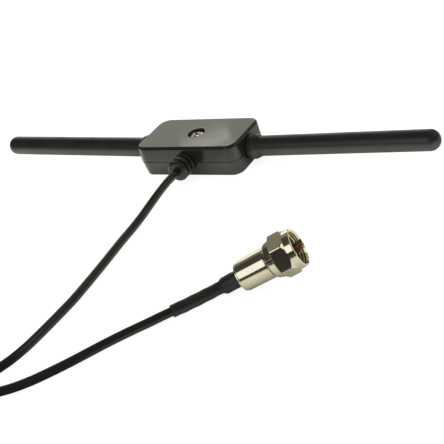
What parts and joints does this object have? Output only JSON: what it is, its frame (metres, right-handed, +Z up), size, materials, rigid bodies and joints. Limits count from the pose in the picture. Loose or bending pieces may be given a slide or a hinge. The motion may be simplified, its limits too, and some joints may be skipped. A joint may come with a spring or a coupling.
{
  "type": "dipole antenna with coaxial lead",
  "caption": "Small indoor dipole aerial: a flat black moulded housing with a rod at each end and a thin coaxial lead that ends in a nickel-plated screw-on 75 ohm plug",
  "frame": {"origin": "the middle of the housing's flat base, on the table", "axes": "+X along the right rod, -Y towards the side where the lead comes out, +Z up"},
  "size_m": [0.1742, 0.176, 0.0149],
  "materials": {
    "housing_plastic": "satin",
    "rod_moulding": "satin",
    "lead_jacket": "satin",
    "nickel_plate": "polished",
    "screw_steel": "satin",
    "brass_parts": "satin",
    "copper_wire": "satin",
    "circuit_board": "satin",
    "ferrite": "matte",
    "white_insulator": "satin"
  },
  "bodies": {
    "antenna": {"top_cover": "housing_plastic", "base_shell": "housing_plastic", "cover_screw": "screw_steel", "left_rod_cover": "rod_moulding", "right_rod_cover": "rod_moulding", "left_element": "brass_parts", "right_element": "brass_parts", "left_terminal": "brass_parts", "right_terminal": "brass_parts", "balun_board": "circuit_board", "balun_core": "ferrite", "balun_winding": "copper_wire", "cable_clamp": "brass_parts", "cable_tail": "lead_jacket", "cable_boot": "rod_moulding", "cable_out": "lead_jacket", "cable_coil": "lead_jacket", "coil_tie": "housing_plastic", "cable_return": "lead_jacket", "shrink_sleeve": "lead_jacket", "plug_body": "nickel_plate", "plug_post": "nickel_plate", "plug_insulator": "white_insulator", "plug_pin": "copper_wire"},
    "nut": {"coupling_nut": "nickel_plate"}
  },
  "joints": [
    {"name": "nut_spin", "type": "hinge", "parent": "antenna", "child": "nut", "pos_m": [0.0525, -0.0691, 0.00395], "axis": [0.8619, 0.4019, 0.309], "continuous": true}
  ]
}
